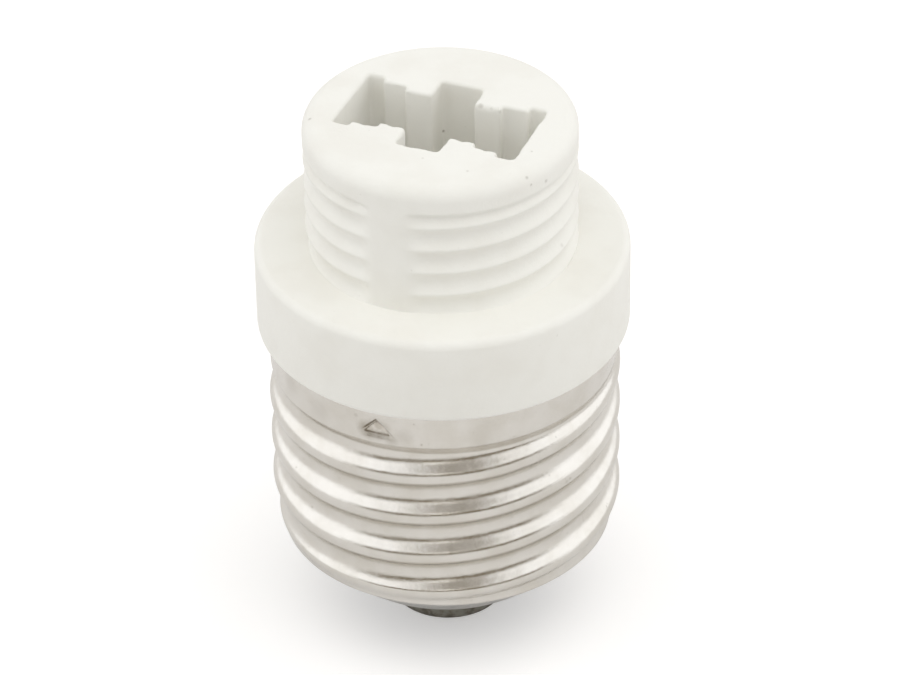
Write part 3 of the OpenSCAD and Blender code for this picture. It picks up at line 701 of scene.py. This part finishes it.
def screw_shell():
    bm = revolved(shell_profile(), 360, closed=True)
    near_crimps = [
        e for e in bm.edges if all(
            v.co.xy.length > BAND_R - SHEET / 2 and v.co.z > BAND_Z + 0.1 and abs(v.co.x) < CRIMP_W * 0.7
            for v in e.verts)
    ]
    bmesh.ops.subdivide_edges(bm, edges=near_crimps, cuts=2, use_grid_fill=True)
    push_radius(bm, shell_shape)
    return finished(bm, "rolled_screw_shell", NICKEL, ["screw_shell"])


# Finish of each node that keeps its frame mesh
NODE_FINISHES = {
    "base_insulator": BLACK,
    "centre_contact": CONTACT,
    "contact_clip_right": BRONZE,
    "contact_clip_left": BRONZE,
    "clip_spring_right": SPRING,
    "clip_spring_left": SPRING,
    "closing_plate": PLATE_CERAMIC,
    "plate_rivet_front": BRASS,
    "plate_rivet_rear": BRASS,
    "rivet_washer_front": STEEL,
    "rivet_washer_rear": STEEL,
    "crimp_sleeve_right": TIN,
    "crimp_sleeve_left": TIN,
    "centre_lead": COPPER,
    "shell_lead": COPPER,
    "centre_lead_sleeve": COVER,
    "shell_lead_sleeve": COVER,
    "centre_solder": SOLDER,
    "shell_solder": SOLDER,
}


def coat_nodes():
    for name, coat in NODE_FINISHES.items():
        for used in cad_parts[name].material_slots:
            used.material = coat


# The floor, and how much it is lifted to white in the picture and in reflections
FLOOR_COLOR = rgb(0.79, 0.778, 0.77)
FLOOR_LIFT = 0.35
REFLECTED_LIFT = 0.08

# The room as glossy surfaces see it
ROOM_COLOR = rgb(1.12, 1.12, 1.13)
PANEL_COLOR = rgb(1.34, 1.35, 1.37)
DARK_COLOR = rgb(0.15, 0.11, 0.05)
BOOTH_SHARE = 0.7
WINDOW_COLOR = rgb(2.0, 2.0, 1.95)

# The room as it lights matt surfaces
SOFT_MIDDLE = rgb(0.6, 0.6, 0.59)
SOFT_SIDES = rgb(1.27, 1.27, 1.27)
SOFT_FRONT = rgb(0.5, 0.5, 0.485)

# The camera looks down on the adapter, in metres
ELEVATION = math.radians(35.14)
ROLL = math.radians(-1.037)
DISTANCE = 0.350
LENS = 189.03
ORBIT_Z = 0.0257
LOOK_DROP = 0.00232
LOOK_RIGHT = 0.00044
LAMP_AIM = Vector((0, 0, 0.02))


def camera():
    right = Vector((math.cos(AZIMUTH), math.sin(AZIMUTH), 0))
    ahead = Vector((-math.sin(AZIMUTH), math.cos(AZIMUTH), 0))
    back = -ahead * math.cos(ELEVATION) + Vector((0, 0, math.sin(ELEVATION)))
    lens = bpy.data.cameras.new("camera")
    lens.lens = LENS
    lens.sensor_width = 36
    lens.clip_start = 0.01
    eye = bpy.data.objects.new("camera", lens)
    bpy.context.collection.objects.link(eye)
    eye.location = Vector((0, 0, ORBIT_Z)) + back * DISTANCE
    look = Vector((0, 0, ORBIT_Z - LOOK_DROP)) + right * LOOK_RIGHT
    facing = (eye.location - look).to_track_quat("Z", "Y")
    eye.rotation_euler = facing.to_euler()
    eye.rotation_euler.rotate_axis("Z", ROLL)
    bpy.context.scene.camera = eye


def floor():
    """Plain floor, lifted to white by the same amount all over. It keeps the adapter's soft shadow."""
    bm = bmesh.new()
    bmesh.ops.create_grid(bm, x_segments=1, y_segments=1, size=4.0)
    mesh = bpy.data.meshes.new("floor")
    bm.to_mesh(mesh)
    bm.free()
    coat = bpy.data.materials.new("floor")
    coat.use_nodes = True
    g = Graph(coat.node_tree)
    path = g.node("ShaderNodeLightPath").outputs
    paper = g.node("ShaderNodeBsdfDiffuse", {"Color": FLOOR_COLOR})
    glossy = g.math("MAXIMUM", path["Is Glossy Ray"], path["Is Transmission Ray"])
    in_picture = g.product(path["Is Camera Ray"], FLOOR_LIFT)
    in_reflections = g.product(glossy, REFLECTED_LIFT)
    lift = g.node("ShaderNodeEmission", {"Strength": g.math("ADD", in_picture, in_reflections)})
    both = g.node("ShaderNodeAddShader", {0: paper.outputs[0], 1: lift.outputs[0]})
    output = g.node("ShaderNodeOutputMaterial", {"Surface": both.outputs[0]})
    output.is_active_output = True
    mesh.materials.append(coat)
    piece = bpy.data.objects.new("floor", mesh)
    bpy.context.collection.objects.link(piece)


def reflected_room(g, right, near, rise):
    """The white room as metal shows it: brighter at the sides, and on the camera's side
    with a low dark band, a darker booth and a small window."""
    sideways = g.math("ABSOLUTE", right)
    base = g.mix(g.ramp(sideways, 0.35, 0.85), ROOM_COLOR, PANEL_COLOR)
    band = g.product(
        g.between(rise, -0.06, 0.04, 0.22, 0.36), g.ramp(sideways, 0.98, 0.7),
        g.ramp(near, -0.1, 0.25),
    )
    booth = g.product(
        g.between(right, -0.42, -0.2, 0.2, 0.4), g.ramp(rise, -0.05, 0.05),
        g.ramp(near, 0.0, 0.3), BOOTH_SHARE,
    )
    seen = g.mix(g.math("MAXIMUM", band, booth), base, DARK_COLOR)
    window = g.product(
        g.between(right, -0.28, -0.18, -0.1, 0.0), g.between(rise, 0.24, 0.28, 0.4, 0.44),
        g.ramp(near, 0.2, 0.4),
    )
    return g.mix(window, seen, WINDOW_COLOR)


def lighting_room(g, right, near, rise):
    """The room as matt surfaces are lit by it: bright sides, and dimmer low down in front."""
    sideways = g.math("ABSOLUTE", right)
    soft = g.mix(g.ramp(sideways, 0.2, 0.8), SOFT_MIDDLE, SOFT_SIDES)
    front = g.product(g.ramp(near, 0.2, 0.8), g.ramp(rise, 0.7, 0.3))
    return g.mix(front, soft, SOFT_FRONT)


def surroundings():
    """The room: plain white in the picture, and drawn for reflections and for soft light."""
    world = bpy.data.worlds.new("room")
    bpy.context.scene.world = world
    world.use_nodes = True
    g = Graph(world.node_tree)
    path = g.node("ShaderNodeLightPath").outputs
    way = g.node("ShaderNodeTexCoord").outputs["Generated"]
    rise = g.node("ShaderNodeSeparateXYZ", {0: way}).outputs["Z"]
    right = g.vector("DOT_PRODUCT", way, (math.cos(AZIMUTH), math.sin(AZIMUTH), 0))
    near = g.vector("DOT_PRODUCT", way, (math.sin(AZIMUTH), -math.cos(AZIMUTH), 0))
    glossy = g.math("MAXIMUM", path["Is Glossy Ray"], path["Is Transmission Ray"])
    color = g.mix(glossy, lighting_room(g, right, near, rise), reflected_room(g, right, near, rise))
    color = g.mix(path["Is Camera Ray"], color, rgb(1, 1, 1))
    sky = g.node("ShaderNodeBackground", {"Color": color, "Strength": 1.0})
    output = g.node("ShaderNodeOutputWorld", {"Surface": sky.outputs[0]})
    output.is_active_output = True


def softbox(name, place, size, level):
    """Square lamp that faces the adapter and gives it about this level of light."""
    lamp = bpy.data.lights.new(name, "AREA")
    reach = Vector(place) - LAMP_AIM
    lamp.size = size
    lamp.energy = level * (math.pi * reach.length) ** 2
    box = bpy.data.objects.new(name, lamp)
    box.visible_glossy = False
    bpy.context.collection.objects.link(box)
    box.location = place
    box.rotation_euler = reach.to_track_quat("Z", "Y").to_euler()


ceramic_body()
screw_shell()
coat_nodes()
camera()
floor()
surroundings()
softbox("top lamp", (0.14, -0.2, 0.6), 0.5, 0.25)
bpy.context.scene.view_settings.view_transform = "Standard"
